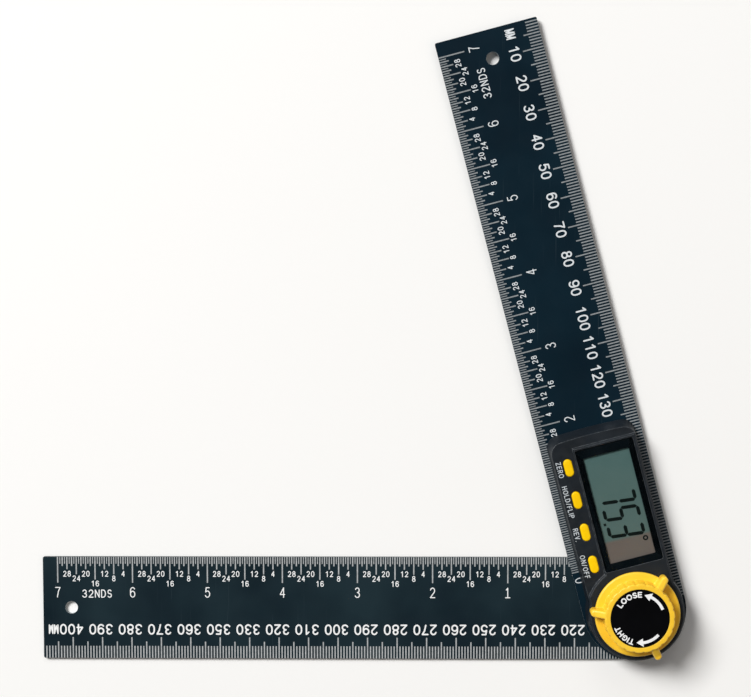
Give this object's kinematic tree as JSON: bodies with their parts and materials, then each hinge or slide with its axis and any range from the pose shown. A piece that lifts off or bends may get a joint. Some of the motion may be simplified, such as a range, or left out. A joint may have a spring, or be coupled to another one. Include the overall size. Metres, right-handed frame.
{
  "type": "digital angle finder",
  "caption": "Two pivoted steel rules with printed scales, a digital angle read-out, push buttons and a turning lock knob.",
  "frame": {"origin": "on the pivot axis, in the plane of the swing blade's back face, on which the tool lies", "axes": "+Z towards the side with the scales and the read-out; the swing arm points along -X; the display arm is opened 75.3 degrees from it, towards +Y"},
  "size_m": [0.2173, 0.215, 0.0174],
  "materials": {
    "blade_coating": "satin dark coating",
    "bright_steel": "turned, bright",
    "black_plastic": "fine moulded texture",
    "yellow_plastic": "smooth moulded",
    "cap_black": "glossy, printed marks",
    "window_clear": "clear with a black border",
    "display_glass": "grey-green read-out",
    "connector_rubber": "soft",
    "board_green": "solder mask",
    "chip_black": "moulded",
    "cell_steel": "nickel plated",
    "contact_metal": "plated spring metal",
    "brass_insert": "turned",
    "washer_white": "slippery plastic"
  },
  "bodies": {
    "display_arm": {"display_blade": "blade_coating", "housing": "black_plastic", "housing_screws": "bright_steel", "display_window": "window_clear", "lcd_panel": "display_glass", "display_connectors": "connector_rubber", "circuit_board": "board_green", "board_screws": "bright_steel", "controller_chip": "chip_black", "dome_switches": "contact_metal", "coin_cell": "cell_steel", "battery_spring": "contact_metal", "battery_clip": "contact_metal", "battery_cradle": "black_plastic", "clamp_stud": "bright_steel", "thrust_washer": "bright_steel"},
    "swing_arm": {"swing_blade": "blade_coating", "pivot_hub": "bright_steel", "hub_screws": "bright_steel", "slip_washer": "washer_white", "friction_washer": "washer_white", "retaining_ring": "bright_steel", "encoder_rotor": "board_green"},
    "knob": {"lock_knob": "yellow_plastic", "knob_insert": "brass_insert", "knob_cap": "cap_black"},
    "battery_door": {"battery_cover": "black_plastic"},
    "zero_key": {"zero_button": "yellow_plastic"},
    "hold_key": {"hold_button": "yellow_plastic"},
    "reverse_key": {"reverse_button": "yellow_plastic"},
    "power_key": {"power_button": "yellow_plastic"}
  },
  "joints": [
    {"name": "arm_pivot", "type": "hinge", "parent": "display_arm", "child": "swing_arm", "pos_m": [0, 0, 0.0021], "axis": [0, 0, 1], "continuous": true},
    {"name": "knob_turn", "type": "hinge", "parent": "display_arm", "child": "knob", "pos_m": [0, 0, 0.0112], "axis": [0, 0, 1], "range_deg": [0, 90]},
    {"name": "battery_door_turn", "type": "hinge", "parent": "display_arm", "child": "battery_door", "pos_m": [-0.01091, 0.04159, 0.0015], "axis": [0, 0, -1], "range_deg": [0, 45]},
    {"name": "zero_press", "type": "slide", "parent": "display_arm", "child": "zero_key", "axis": [0, 0, -1], "range_m": [0, 0.00035], "stiffness_N_per_m": 400, "springref_m": -0.0005},
    {"name": "hold_press", "type": "slide", "parent": "display_arm", "child": "hold_key", "axis": [0, 0, -1], "range_m": [0, 0.00035], "stiffness_N_per_m": 400, "springref_m": -0.0005},
    {"name": "reverse_press", "type": "slide", "parent": "display_arm", "child": "reverse_key", "axis": [0, 0, -1], "range_m": [0, 0.00035], "stiffness_N_per_m": 400, "springref_m": -0.0005},
    {"name": "power_press", "type": "slide", "parent": "display_arm", "child": "power_key", "axis": [0, 0, -1], "range_m": [0, 0.00035], "stiffness_N_per_m": 400, "springref_m": -0.0005}
  ]
}
